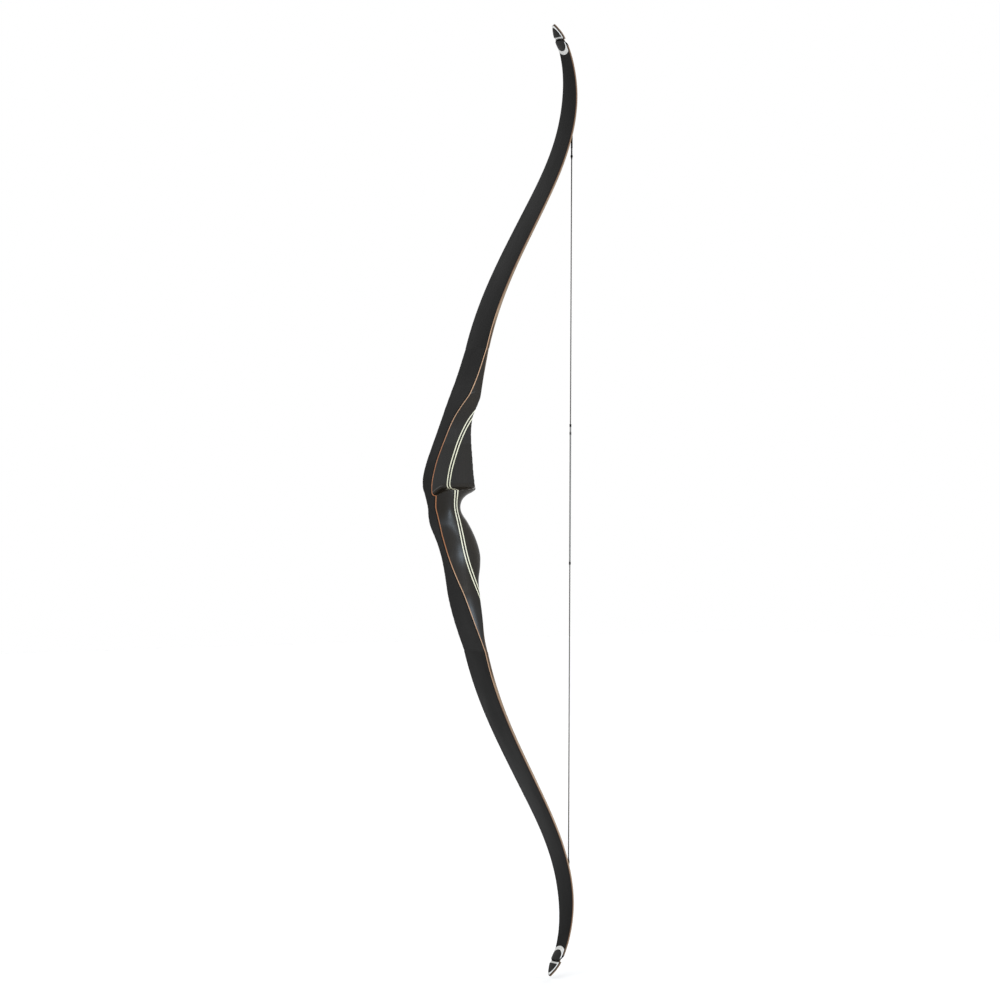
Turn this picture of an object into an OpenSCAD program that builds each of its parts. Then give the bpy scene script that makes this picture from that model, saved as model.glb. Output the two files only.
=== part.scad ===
// One-piece laminated recurve bow, strung, right-handed.
// +Z runs up along the string, +X from the grip to the string, -Y is the sight-window side.
// The origin is the throat of the grip in depth, the middle of the bow in height and width.

/* [Limb curve] */
// Length of each limb along its back, from the riser's fade to the tip
limb_len = 551; // [520:1:570]
// Height of the end of the riser's fades above and below the middle of the bow
fade_z = 228; // [215:1:240]
// Distance of the back of the bow at the fades from the throat's plane
fade_x = 30.5; // [24:0.5:38]
// Lean of the limb from upright where it leaves the riser, in degrees
lean_root = 16; // [12:0.5:22]
// Greatest lean of the limb from upright, in degrees
lean_mid = 31.5; // [28:0.5:34]
// Distance from the fade at which the limb leans most
mid_s = 208; // [180:1:235]
// Distance from the fade at which the recurve starts
hook_s = 238; // [235:1:270]
// Turn of the recurve from its start to the tip, in degrees
hook_turn = 71.4; // [60:0.2:76]

/* [Limb section] */
// Width of the limb at the fade
limb_w = 51; // [46:0.5:56]
// Width of the limb in the middle of its working part
limb_w_mid = 44.5; // [40:0.5:48]
// Width of the limb at the start of the recurve's contact with the string
limb_w_hook = 33.5; // [28:0.5:38]
// Width of the limb at the string nock
nock_w = 20; // [18:0.5:23]
// Width of the blunt end of the tip
tip_w = 4.5; // [4:0.5:6]
// Thickness of the limb at the fade
limb_t = 6.8; // [6.2:0.1:8]
// Thickness of the limb from the recurve to the tip
limb_t_tip = 4.3; // [4:0.1:5]
// Thickness of the glass facing on the back
back_glass_t = 1.1; // [0.8:0.1:1.4]
// Thickness of the glass facing on the belly
belly_glass_t = 1.1; // [0.8:0.1:1.4]
// Thickness of the wood lamination under the back glass
back_core_t = 1.3; // [1:0.1:1.6]
// Thickness left at the feathered end of the riser's fades
fade_tip_t = 0.3; // [0.2:0.1:0.6]

/* [Riser] */
// Depth of the back of the bow behind the throat's plane at the arrow shelf
back_depth = 54.2; // [50:0.1:58]
// Reach of the grip's heel towards the archer
heel_x = 39.2; // [33:0.1:41]
// Height of the grip's throat below the middle of the bow
throat_drop = 12; // [9:0.5:15]
// Reach of the shelf's beak over the hand
beak_x = 29; // [26:0.5:32]
// Half width of the grip at its narrowest
grip_half_w = 13.8; // [12.5:0.1:16]
// Half width of the riser at the arrow shelf
shelf_half_w = 24.5; // [22:0.5:26]
// Half width of the back of the riser at the grip
back_half_w = 8; // [7:0.5:10]
// Height above the middle of the bow at which the upper belly laminations feather out
ramp_up_z = 150; // [146:1:158]
// Height below the middle of the bow at which the lower belly laminations feather out
ramp_low_z = 166; // [164:1:174]

/* [Sight window] */
// Distance of the window's face from the bow's middle plane
window_y = 3; // [1.5:0.5:5]
// Height of the arrow shelf above the middle of the bow
shelf_z = 18; // [16:0.5:19.5]
// Drop of the shelf's rounded front edge
shelf_crown = 9.5; // [6:0.5:12]
// Height above the middle of the bow at which the window starts to sweep out
window_flat_z = 84; // [76:1:92]

/* [Stripes] */
// Thickness of each pale accent lamination
stripe_t = 1.5; // [1:0.1:2]
// Thickness of the dark lamination between the pale ones
stripe_gap = 3.4; // [2.6:0.1:4.2]
// Depth of the accent laminations behind the throat's plane at the shelf
stripe_depth = 25; // [22:0.5:28]

/* [Tips] */
// Distance of the nock groove from the tip, along the limb
nock_from_tip = 24; // [22:0.5:28]
// Width of the neck between the two nock grooves
neck_w = 12; // [11:0.5:13.5]
// Length of the pale tip overlay
overlay_len = 50; // [46:1:56]
// Thickness of the pale tip overlay
pale_overlay_t = 1.6; // [1.2:0.1:2]
// Thickness of the dark tip overlay on top of it
dark_overlay_t = 2.2; // [1.6:0.1:2.8]
// Margin of pale overlay left showing round the dark one
overlay_rim = 1.3; // [0.8:0.1:2]

/* [Bowstring] */
// Diameter of the bare twisted string
string_d = 1.9; // [1.7:0.1:2.4]
// Diameter of the two strands that form each end loop
loop_d = 2.3; // [2:0.1:2.8]
// Diameter of the spliced ends of the string
splice_d = 2.8; // [2.6:0.1:3.6]
// Diameter of the centre serving
serving_d = 2.6; // [2.4:0.1:3.4]
// Length of the centre serving above the nocking point
serving_up = 118; // [90:1:130]
// Length of the centre serving below the nocking point
serving_down = 100; // [80:1:120]
// Distance below the nock at which the two strands of the loop join
loop_len = 38; // [34:1:44]
// Length of the upper spliced end that runs on past the recurve
upper_splice_tail = 98; // [60:1:115]
// Length of the lower spliced end that runs on past the recurve
lower_splice_tail = 71; // [60:1:115]
// Diameter of the tag left where the splice ends
tag_d = 4.2; // [3.8:0.1:5]
// Half length of the scarf where the two halves of the string meet
lap_len = 22; // [20:1:26]
// Clearance between parts that move on each other
clearance = 0.3; // [0.2:0.05:0.4]
// Height of the second bending line of each limb above or below the middle
bend_z = 410; // [390:1:430]

/* [Hidden] */

glass_color = [0.13, 0.14, 0.14];
core_color = [0.62, 0.42, 0.28];
back_core_color = [0.70, 0.42, 0.24];
riser_color = [0.17, 0.16, 0.15];
pale_color = [0.86, 0.85, 0.76];
string_color = [0.30, 0.28, 0.26];
serving_color = [0.12, 0.12, 0.12];

// Smooth curve through [position, value] points, and its slope at a point
function secant(p, i) = (p[i + 1][1] - p[i][1]) / (p[i + 1][0] - p[i][0]);
function slope_at(p, i) =
    i == 0 ? secant(p, 0) :
    i == len(p) - 1 ? secant(p, i - 1) :
    let (a = p[i][0] - p[i - 1][0], b = p[i + 1][0] - p[i][0])
    (secant(p, i - 1) * b + secant(p, i) * a) / (a + b);
function stretch(p, q, i = 0) = i >= len(p) - 2 || q < p[i + 1][0] ? i : stretch(p, q, i + 1);
function curve(p, q) =
    let (i = stretch(p, q), h = p[i + 1][0] - p[i][0], t = (q - p[i][0]) / h)
    p[i][1] * (1 + 2 * t) * (1 - t) * (1 - t) + slope_at(p, i) * h * t * (1 - t) * (1 - t)
    + p[i + 1][1] * t * t * (3 - 2 * t) + slope_at(p, i + 1) * h * t * t * (t - 1);

// The back of a limb as a path: steps of equal length along the lean given by the distance
path_steps = 78;
ds = limb_len / path_steps;
function lean(s) =
    lean_mid - (lean_mid - lean_root) * (1 - sin(90 * min(max(s, 0) / mid_s, 1)))
    - hook_turn * pow(max(0, (s - hook_s) / (limb_len - hook_s)), 2);
limb_back = [
    for (i = 0, x = fade_x, z = fade_z; i <= path_steps;
        x = x + ds * sin(lean((i + 0.5) * ds)), z = z + ds * cos(lean((i + 0.5) * ds)), i = i + 1)
    [x, z]
];
tip_z = limb_back[path_steps][1];

// Point of a limb at distance s from the fade and depth d under its back, as [x, z]
function back_at(s) =
    let (i = min(floor(s / ds), path_steps - 1), f = s / ds - i)
    limb_back[i] * (1 - f) + limb_back[i + 1] * f;
function limb_pt(s, d) = back_at(s) + d * [cos(lean(s)), -sin(lean(s))];
function thick(s) = limb_t_tip + (limb_t - limb_t_tip) * pow(max(0, 1 - s / 430), 1.2);
function limb_s(z, lo = 0, hi = limb_len, n = 24) =
    n == 0 ? (lo + hi) / 2 :
    back_at((lo + hi) / 2)[1] < z ? limb_s(z, (lo + hi) / 2, hi, n - 1) :
    limb_s(z, lo, (lo + hi) / 2, n - 1);

// Width of the limb along its length
nock_s = limb_len - nock_from_tip;
hook_contact_s = 432;
width_points = [
    [0, limb_w], [120, (limb_w + limb_w_mid) / 2 - 0.6], [245, limb_w_mid], [350, limb_w_mid - 5.6],
    [hook_contact_s, limb_w_hook], [nock_s - 37, nock_w + 4.6], [nock_s - 15, nock_w + 1.3],
    [nock_s - 4, nock_w - 0.2], [nock_s + 5, nock_w - 2], [limb_len - 14, nock_w - 4],
    [limb_len - 8, tip_w + 7.5], [limb_len - 3, tip_w + 3.3], [limb_len, tip_w]
];
function limb_width(s) = curve(width_points, s);

// Outlines of the riser, as [height, distance] points
back_points = [
    [-fade_z, fade_x], [-183, 10.4], [-127, -11.2], [-70, -32.3], [-35, -46.2],
    [0, 1.2 - back_depth], [20, -back_depth], [50, 6.6 - back_depth], [96, -28], [139, -9.2],
    [183, 12.6], [fade_z, fade_x]
];
belly_points = [
    [-fade_z, fade_x + limb_t / cos(lean_root)], [-208, 32.6], [-180, 30.2], [-150, 29.4], [-123, 31.8],
    [-99, heel_x - 1], [-84, heel_x], [-68, heel_x - 4.4], [-50, 25.6], [-32, 13.2],
    [-throat_drop - 6, 1.8], [-throat_drop, 0], [-throat_drop + 7, 0.6], [2, 4.8], [8, 13.6],
    [12, 23], [15.5, beak_x - 0.6], [18.5, beak_x], [25, beak_x - 0.6], [38, 26.4], [60, 24.2],
    [96, 21], [125, 20.6], [146, 24], [168, 26.4], [183, 28.6], [198, 31.4],
    [fade_z, fade_x + limb_t / cos(lean_root)]
];
back_half_points = [
    [-fade_z, limb_w / 2], [-183, 23.8], [-156, 21.6], [-141, 19.4], [-127, 15.8], [-112, 12.2],
    [-98, back_half_w + 1.6], [-84, back_half_w], [-70, back_half_w - 0.2], [-55, back_half_w + 0.9],
    [-38, back_half_w + 3.4], [-24, back_half_w + 2.6], [-throat_drop, back_half_w + 0.7],
    [-3, back_half_w + 2.2], [8, 13.4], [17, 17.2], [28, 19.6], [67, 20.5], [96, 21.2], [124, 21.4],
    [141, 22.2], [168, 24.2], [197, 25.2], [fade_z, limb_w / 2]
];
mid_half_points = [
    [-fade_z, limb_w / 2], [-183, 24.6], [-156, 22.9], [-141, 21.2], [-127, 18.7],
    [-112, grip_half_w + 2.5], [-98, grip_half_w + 0.8], [-84, grip_half_w], [-70, grip_half_w + 0.2],
    [-50, grip_half_w + 1.5], [-30, grip_half_w + 2.4], [-throat_drop, grip_half_w + 3.6],
    [-3, 19.2], [7, 22], [16, shelf_half_w - 0.3], [24, shelf_half_w], [60, 24.2], [124, 24],
    [168, 24.8], [fade_z, limb_w / 2]
];
// Squareness of the belly side of the section: 2 is round, 12 nearly square
square_points = [
    [-fade_z, 12], [-180, 9], [-150, 5], [-120, 3], [-95, 2.4], [-30, 2.2], [-5, 2.1], [14, 1.9],
    [20, 1.9], [27, 2.7], [40, 3.2], [110, 3.4], [140, 5], [170, 9], [fade_z, 12]
];
function back_x(z) = curve(back_points, z);
function belly_x(z) = curve(belly_points, z);
function rake(p, z) = 1 / cos(atan((curve(p, z + 1) - curve(p, z - 1)) / 2));

// Heights of the riser's cross sections, closer together round the throat and the beak
function spread(a, b, n) = [for (i = [0 : n - 1]) a + (b - a) * i / n];
riser_zs = concat(spread(-fade_z, -ramp_low_z, 6), spread(-ramp_low_z, -120, 6), spread(-120, -32, 11),
    spread(-32, -2, 7), spread(-2, shelf_z + 3, 13), spread(shelf_z + 3, 60, 6),
    spread(60, ramp_up_z, 9), spread(ramp_up_z, fade_z, 8), [fade_z]);

// One cross section as [x, y] points, counted once round
mid_share = 0.5;
side_steps = 3;
end_steps = 7;
function half_section(z) =
    let (xb = back_x(z), depth = belly_x(z) - xb, hb = curve(back_half_points, z),
        hm = curve(mid_half_points, z), n = curve(square_points, z))
    concat(
        [for (i = [0 : side_steps - 1]) let (t = i / side_steps)
            [xb + depth * mid_share * t, hb + (hm - hb) * sin(90 * t)]],
        [for (i = [0 : end_steps - 1]) let (a = 90 * i / end_steps)
            [xb + depth * (mid_share + (1 - mid_share) * pow(sin(a), 2 / n)), hm * pow(cos(a), 2 / n)]]
    );
function section(z) =
    let (h = half_section(z), n = len(h))
    concat([for (q = h) [q[0], -q[1]]], [[belly_x(z), 0]], [for (i = [n - 1 : -1 : 0]) h[i]]);

// Solid through rings of points that all have the same count
module loft(rings) {
    n = len(rings[0]);
    last = len(rings) - 1;
    polyhedron(
        points = [for (ring = rings) each ring],
        faces = concat(
            [[for (i = [0 : n - 1]) i]],
            [for (r = [0 : last - 1], i = [0 : n - 1]) let (j = (i + 1) % n)
                [r * n + i, (r + 1) * n + i, (r + 1) * n + j]],
            [for (r = [0 : last - 1], i = [0 : n - 1]) let (j = (i + 1) % n)
                [r * n + i, (r + 1) * n + j, r * n + j]],
            [[for (i = [n - 1 : -1 : 0]) last * n + i]]
        )
    );
}
blank_overrun = 5;
module riser_blank() {
    zs = concat([-fade_z - blank_overrun], riser_zs, [fade_z + blank_overrun]);
    loft([for (z = zs) [for (q = section(z)) [q[0], q[1], z]]]);
}

// Prism along Y of an [x, z] outline, and prism along X of a [y, z] outline
reach = limb_w;
module side_prism(points) {
    rotate([90, 0, 0]) linear_extrude(height = 2 * reach, center = true) polygon(points);
}
module front_prism(points) {
    rotate([90, 0, 90]) linear_extrude(height = 2 * limb_len, center = true) polygon(points);
}

// Everything that the sight window takes away above the arrow shelf
window_top_z = 168;
cut_back_x = -70;
cut_front_x = 60;
window_sweep = [
    [window_flat_z, window_y], [110, window_y + 2], [124, window_y + 5], [139, window_y + 11.6],
    [153, window_y + 18.8], [window_top_z, window_y + 24]
];
shelf_line = [
    [cut_back_x, shelf_z - 3 * shelf_crown], [-49, shelf_z - shelf_crown], [-37, shelf_z - 2.2],
    [-21, shelf_z - 0.7], [0, shelf_z], [cut_front_x, shelf_z]
];
module window_cut() {
    intersection() {
        side_prism(concat([for (x = [cut_back_x : 5 : cut_front_x]) [x, curve(shelf_line, x)]],
            [[cut_front_x, window_top_z], [cut_back_x, window_top_z]]));
        front_prism(concat([[-reach, -reach], [-window_y, -reach]],
            [for (z = [window_flat_z : 6 : window_top_z]) [-curve(window_sweep, z), z]],
            [[-window_y - 24, window_top_z], [-reach, window_top_z]]));
    }
}

// Boundaries between the riser's laminations, as distance at a height
glass_line_t = back_glass_t;
core_line_t = back_glass_t + back_core_t;
function back_line(z, d) = back_x(z) + d * rake(back_points, z);
stripe_points = [
    [-176, 40], [-152, 27], [-139, 21], [-112, 10.6], [-84, 1.2], [-55, -7.8], [-32, -14.9],
    [-9, 3.4 - stripe_depth], [18, -stripe_depth], [45, 4.1 - stripe_depth], [70, -12.4],
    [103, 2], [134, 20.2], [150, 32]
];
function stripe_line(z, d) = curve(stripe_points, z) + d * rake(stripe_points, z);
dark_from = stripe_t;
dark_to = stripe_t + stripe_gap;
stripes_to = 2 * stripe_t + stripe_gap;
function ramp_share(z) =
    z > 0 ? max(0, (z - ramp_up_z) / (fade_z - ramp_up_z)) :
    max(0, (-z - ramp_low_z) / (fade_z - ramp_low_z));
ramp_core_t = limb_t - back_glass_t - back_core_t - belly_glass_t - fade_tip_t;
function ramp_line(z, with_core) =
    belly_x(z) - (belly_glass_t + (with_core ? ramp_core_t * ramp_share(z) : 0)) * rake(belly_points, z);
beyond = 30;

// A slab between two curves, each given as a list of [x, z] points from the bottom up
function heights(lo, hi) = concat([lo], [for (z = riser_zs) if (z > lo && z < hi) z], [hi]);
function reversed(list) = [for (i = [len(list) - 1 : -1 : 0]) list[i]];
module riser_layer(front, rear) {
    difference() {
        intersection() {
            riser_blank();
            side_prism(concat(front, reversed(rear)));
        }
        window_cut();
    }
}
whole = heights(-fade_z, fade_z);
stripe_span = heights(-ramp_low_z, ramp_up_z);
function stripe_edge(d) = [for (z = stripe_span) [stripe_line(z, d), z]];
function back_edge(d) = [for (z = whole) [back_line(z, d), z]];
function ramp_edge(zs, with_core) = [for (z = zs) [ramp_line(z, with_core), z]];
function outer_edge(zs, shift) = [for (z = zs) [belly_x(z) + shift, z]];
upper_ramp_span = heights(ramp_up_z, fade_z);
lower_ramp_span = heights(-fade_z, -ramp_low_z);

module riser_front_block() {
    color(riser_color) riser_layer(back_edge(core_line_t),
        concat(ramp_edge(lower_ramp_span, true), stripe_edge(0), ramp_edge(upper_ramp_span, true)));
}
module front_pale_stripe() {
    color(pale_color) riser_layer(stripe_edge(0), stripe_edge(dark_from));
}
module dark_stripe() {
    color(riser_color) riser_layer(stripe_edge(dark_from), stripe_edge(dark_to));
}
module rear_pale_stripe() {
    color(pale_color) riser_layer(stripe_edge(dark_to), stripe_edge(stripes_to));
}
module grip_block() {
    color(riser_color) riser_layer(stripe_edge(stripes_to), outer_edge(stripe_span, beyond + 20));
}
module riser_back_glass() {
    color(glass_color) riser_layer([for (z = whole) [back_x(z) - beyond, z]], back_edge(glass_line_t));
}
module riser_back_core() {
    color(back_core_color) riser_layer(back_edge(glass_line_t), back_edge(core_line_t));
}
module upper_ramp_core() {
    color(core_color) riser_layer(ramp_edge(upper_ramp_span, true), ramp_edge(upper_ramp_span, false));
}
module upper_ramp_glass() {
    color(glass_color) riser_layer(ramp_edge(upper_ramp_span, false), outer_edge(upper_ramp_span, beyond));
}
module lower_ramp_core() {
    color(core_color) riser_layer(ramp_edge(lower_ramp_span, true), ramp_edge(lower_ramp_span, false));
}
module lower_ramp_glass() {
    color(glass_color) riser_layer(ramp_edge(lower_ramp_span, false), outer_edge(lower_ramp_span, beyond));
}

// Strip of a limb between two depths, cut level at two heights
strip_ss = [for (i = [0 : path_steps]) i * ds];
function depth_of(k, s) =
    k == "back" ? 0 :
    k == "glass" ? back_glass_t :
    k == "core" ? back_glass_t + back_core_t :
    k == "belly_core" ? thick(s) - belly_glass_t :
    k == "belly" ? thick(s) :
    k == "pale" ? -pale_overlay_t :
    -pale_overlay_t - dark_overlay_t;
root_overrun = 6;
function run_on(s, d) = s >= 0 ? limb_pt(s, d) :
    limb_pt(0, d) + s * [sin(lean(0)), cos(lean(0))];
module strip(from, to, s_lo, s_hi) {
    ss = concat([s_lo < 1 ? -root_overrun : s_lo],
        [for (s = strip_ss) if (s > s_lo + 0.5 && s < s_hi - 0.5) s], [s_hi]);
    side_prism(concat([for (s = ss) run_on(s, depth_of(from, s))],
        [for (i = [len(ss) - 1 : -1 : 0]) run_on(ss[i], depth_of(to, ss[i]))]));
}
module limb_outline(z_lo, z_hi, margin = 0) {
    zs = concat([z_lo],
        [for (s = strip_ss) let (z = back_at(s)[1]) if (z > z_lo + 1 && z < z_hi - 1) z], [z_hi]);
    front_prism(concat([for (z = zs) [limb_width(limb_s(z)) / 2 - margin, z]],
        [for (i = [len(zs) - 1 : -1 : 0]) [margin - limb_width(limb_s(zs[i])) / 2, zs[i]]]));
}

// The nock: a groove across the back for the loop, and a flared notch down each side
loop_r = loop_d / 2;
splice_r = splice_d / 2;
loop_depth = -loop_r - 0.5;
nock_at = limb_pt(nock_s, loop_depth);
nock_lean = lean(nock_s);
leg_slope = 25;
leg_swing = 32;
cut_r = loop_r + clearance;
function heading(a, side, run) =
    side * cut_r * [cos(a), sin(a)] + run * [sin(a), -cos(a)];
module at_nock() {
    translate([nock_at[0], 0, nock_at[1]]) rotate([0, nock_lean, 0]) children();
}
module nock_cut() {
    swung = leg_slope + leg_swing;
    at_nock() {
        rotate([90, 0, 0]) cylinder(r = cut_r, h = 40, center = true, $fn = 48);
        translate([-10, -20, -cut_r]) cube([10, 40, 2 * cut_r]);
        for (side = [-1, 1]) {
            translate([0, side * (neck_w / 2 + 10), 0]) rotate([90, 0, 0])
                linear_extrude(height = 20, center = true) polygon([
                    [-10, cut_r], [0, cut_r], heading(swung, 1, 0), heading(swung, 1, 16),
                    heading(leg_slope, -1, 24), heading(leg_slope, -1, 0), [-10, -cut_r]
                ]);
        }
    }
}

module inner_layer(from, to) {
    intersection() {
        strip(from, to, 0, limb_s(bend_z) + 20);
        limb_outline(fade_z + clearance, bend_z);
    }
}
module outer_layer(from, to) {
    difference() {
        intersection() {
            strip(from, to, limb_s(bend_z) - 20, limb_len);
            limb_outline(bend_z + clearance, tip_z + 4);
        }
        nock_cut();
    }
}
module pale_overlay() {
    difference() {
        intersection() {
            strip("pale", "back", limb_len - overlay_len, limb_len);
            limb_outline(bend_z, tip_z + 4);
        }
        nock_cut();
    }
}
module dark_overlay() {
    difference() {
        intersection() {
            strip("dark", "pale", limb_len - overlay_len + 7, limb_len - 3);
            limb_outline(bend_z, tip_z + 4, overlay_rim);
        }
        nock_cut();
    }
}

// Round cord along a list of points, with rings square to the run
function unit(v) = v / norm(v);
function along(p, i) = unit(p[min(i + 1, len(p) - 1)] - p[max(i - 1, 0)]);
module cord(points, r, sides = 10, flat = [1, 0, 0]) {
    loft([for (i = [0 : len(points) - 1])
        let (t = along(points, i), u = unit(cross(flat, t)), v = cross(t, u))
        [for (k = [0 : sides - 1]) points[i] + r * (u * cos(360 * k / sides) + v * sin(360 * k / sides))]]);
}

// The string rests on the belly of the recurve and leaves it where the belly stands furthest out
function rest_pt(s, r, y = 0) =
    let (p = limb_pt(s, thick(s) + r + clearance))
    [p[0], y, p[1]];
function outmost(s, best) =
    s > nock_s ? best :
    outmost(s + 1, limb_pt(s, thick(s))[0] > limb_pt(best, thick(best))[0] ? s : best);
lift_s = outmost(hook_contact_s - 40, hook_contact_s - 40);
string_x = rest_pt(lift_s, splice_r)[0];
lift_z = rest_pt(lift_s, splice_r)[2];
join_s = nock_s - loop_len;
link_gap = clearance;
upper_splice_z = lift_z - upper_splice_tail;
lower_splice_z = lift_z - lower_splice_tail;
tag_len = 7;

function leg(side) =
    let (y = neck_w / 2 + loop_r + clearance, e = [cos(nock_lean), 0, -sin(nock_lean)],
        f = [sin(nock_lean), 0, cos(nock_lean)], o = [nock_at[0], 0, nock_at[1]], w = [0, side, 0])
    [
        o + (y - 2.8) * w, o + (y - 1.3) * w - 0.1 * f, o + (y - 0.3) * w + 0.2 * e - 0.9 * f,
        o + y * w + 1.3 * e - 2.5 * f, o + y * w + 3.6 * e - 6.4 * f, o + (y - 0.1) * w + 6 * e - 10.8 * f,
        rest_pt(nock_s - 16, loop_r, side * (y - 0.8)), rest_pt(nock_s - 21, loop_r, side * (y - 2.4)),
        rest_pt(nock_s - 27, loop_r, side * (y - 4.4)), rest_pt(nock_s - 32, loop_r, side * (loop_r + 0.5)),
        rest_pt(join_s, loop_r, side * (loop_r + 0.05))
    ];
module string_loop() {
    color(serving_color) cord(concat(reversed(leg(-1)), leg(1)), loop_r, 10,
        [cos(nock_lean), 0, -sin(nock_lean)]);
}
module string_contact() {
    steps = 8;
    top = join_s - link_gap;
    color(serving_color) cord([for (i = [0 : steps]) rest_pt(top + (lift_s - top) * i / steps, splice_r)],
        splice_r, 12);
}
module upright(lo, hi, d) {
    translate([string_x, 0, lo]) cylinder(d = d, h = hi - lo, $fn = 24);
}
module string_splice(end_z) {
    color(serving_color) upright(end_z, lift_z - link_gap, splice_d);
}
module splice_tag(end_z) {
    color(serving_color) translate([string_x, 0, end_z - tag_len]) rotate_extrude($fn = 24) polygon([
        [0, 0], [string_d / 2, 0], [tag_d * 0.42, tag_len * 0.2], [tag_d / 2, tag_len * 0.45],
        [tag_d * 0.46, tag_len * 0.7], [splice_d / 2, tag_len], [0, tag_len]
    ]);
}
module bare_string(serving_len, end_z) {
    color(string_color) upright(serving_len, end_z - tag_len, string_d);
}
// The centre serving, cut to half its thickness on one side where the two halves meet
module serving(serving_len, side) {
    color(serving_color) difference() {
        upright(0, serving_len, serving_d);
        translate([string_x - serving_d, side > 0 ? -clearance / 2 : -serving_d + clearance / 2, -1])
            cube([2 * serving_d, serving_d, lap_len + 1]);
    }
}
module lower_side() {
    mirror([0, 0, 1]) children();
}

module upper_inner_back_glass() {
    color(glass_color) inner_layer("back", "glass");
}
module upper_inner_back_core() {
    color(back_core_color) inner_layer("glass", "core");
}
module upper_inner_belly_core() {
    color(core_color) inner_layer("core", "belly_core");
}
module upper_inner_belly_glass() {
    color(glass_color) inner_layer("belly_core", "belly");
}
module upper_outer_back_glass() {
    color(glass_color) outer_layer("back", "glass");
}
module upper_outer_back_core() {
    color(back_core_color) outer_layer("glass", "core");
}
module upper_outer_belly_core() {
    color(core_color) outer_layer("core", "belly_core");
}
module upper_outer_belly_glass() {
    color(glass_color) outer_layer("belly_core", "belly");
}
module lower_inner_back_glass() {
    lower_side() upper_inner_back_glass();
}
module lower_inner_back_core() {
    lower_side() upper_inner_back_core();
}
module lower_inner_belly_core() {
    lower_side() upper_inner_belly_core();
}
module lower_inner_belly_glass() {
    lower_side() upper_inner_belly_glass();
}
module lower_outer_back_glass() {
    lower_side() upper_outer_back_glass();
}
module lower_outer_back_core() {
    lower_side() upper_outer_back_core();
}
module lower_outer_belly_core() {
    lower_side() upper_outer_belly_core();
}
module lower_outer_belly_glass() {
    lower_side() upper_outer_belly_glass();
}
module upper_pale_overlay() {
    color(pale_color) pale_overlay();
}
module upper_dark_overlay() {
    color(riser_color) dark_overlay();
}
module lower_pale_overlay() {
    lower_side() upper_pale_overlay();
}
module lower_dark_overlay() {
    lower_side() upper_dark_overlay();
}
module upper_string_loop() {
    string_loop();
}
module upper_string_contact() {
    string_contact();
}
module upper_string_splice() {
    string_splice(upper_splice_z);
}
module upper_splice_tag() {
    splice_tag(upper_splice_z);
}
module upper_string() {
    bare_string(serving_up, upper_splice_z);
}
module upper_serving() {
    serving(serving_up, 1);
}
module lower_string_loop() {
    lower_side() string_loop();
}
module lower_string_contact() {
    lower_side() string_contact();
}
module lower_string_splice() {
    lower_side() string_splice(lower_splice_z);
}
module lower_splice_tag() {
    lower_side() splice_tag(lower_splice_z);
}
module lower_string() {
    lower_side() bare_string(serving_down, lower_splice_z);
}
module lower_serving() {
    lower_side() serving(serving_down, -1);
}

riser_front_block();
front_pale_stripe();
dark_stripe();
rear_pale_stripe();
grip_block();
riser_back_glass();
riser_back_core();
upper_ramp_core();
upper_ramp_glass();
lower_ramp_core();
lower_ramp_glass();
upper_inner_back_glass();
upper_inner_back_core();
upper_inner_belly_core();
upper_inner_belly_glass();
upper_outer_back_glass();
upper_outer_back_core();
upper_outer_belly_core();
upper_outer_belly_glass();
lower_inner_back_glass();
lower_inner_back_core();
lower_inner_belly_core();
lower_inner_belly_glass();
lower_outer_back_glass();
lower_outer_back_core();
lower_outer_belly_core();
lower_outer_belly_glass();
upper_pale_overlay();
upper_dark_overlay();
lower_pale_overlay();
lower_dark_overlay();
upper_string_loop();
upper_string_contact();
upper_string_splice();
upper_splice_tag();
upper_string();
upper_serving();
lower_string_loop();
lower_string_contact();
lower_string_splice();
lower_splice_tag();
lower_string();
lower_serving();
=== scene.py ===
import math

import bmesh
import bpy
import numpy as np
from mathutils import Matrix, Vector
from mathutils.geometry import delaunay_2d_cdt


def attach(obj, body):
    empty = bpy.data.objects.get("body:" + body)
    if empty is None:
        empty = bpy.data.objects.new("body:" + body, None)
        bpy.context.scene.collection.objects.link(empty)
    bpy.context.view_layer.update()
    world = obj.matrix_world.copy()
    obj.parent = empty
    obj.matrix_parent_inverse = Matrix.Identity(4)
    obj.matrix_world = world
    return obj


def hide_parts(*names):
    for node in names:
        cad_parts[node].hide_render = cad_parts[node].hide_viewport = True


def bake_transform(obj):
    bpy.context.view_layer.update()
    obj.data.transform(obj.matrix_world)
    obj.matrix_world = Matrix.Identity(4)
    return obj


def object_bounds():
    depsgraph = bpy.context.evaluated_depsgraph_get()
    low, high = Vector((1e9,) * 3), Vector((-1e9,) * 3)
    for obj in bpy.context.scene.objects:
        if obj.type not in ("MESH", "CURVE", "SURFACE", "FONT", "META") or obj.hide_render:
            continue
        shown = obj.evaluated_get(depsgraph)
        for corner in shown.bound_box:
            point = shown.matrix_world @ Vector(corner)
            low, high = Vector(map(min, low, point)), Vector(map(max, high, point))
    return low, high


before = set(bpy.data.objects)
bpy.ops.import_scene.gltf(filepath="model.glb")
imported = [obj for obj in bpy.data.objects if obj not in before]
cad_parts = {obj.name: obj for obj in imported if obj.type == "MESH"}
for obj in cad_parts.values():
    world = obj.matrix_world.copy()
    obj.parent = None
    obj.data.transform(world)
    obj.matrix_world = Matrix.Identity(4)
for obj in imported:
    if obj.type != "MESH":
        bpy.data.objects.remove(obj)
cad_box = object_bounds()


# Camera
# The photograph looks at the shelf side of the bow from its back, level with the
# grip, through a long lens. The bow leans a quarter of a degree in the picture.
scene = bpy.context.scene
view_from = math.radians(38)
stand_off = 4.5
side_step = 0.0621
lean = 0.0045
ahead = Vector((math.sin(view_from), math.cos(view_from), 0))
right = Vector((math.cos(view_from), -math.sin(view_from), 0))
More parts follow.
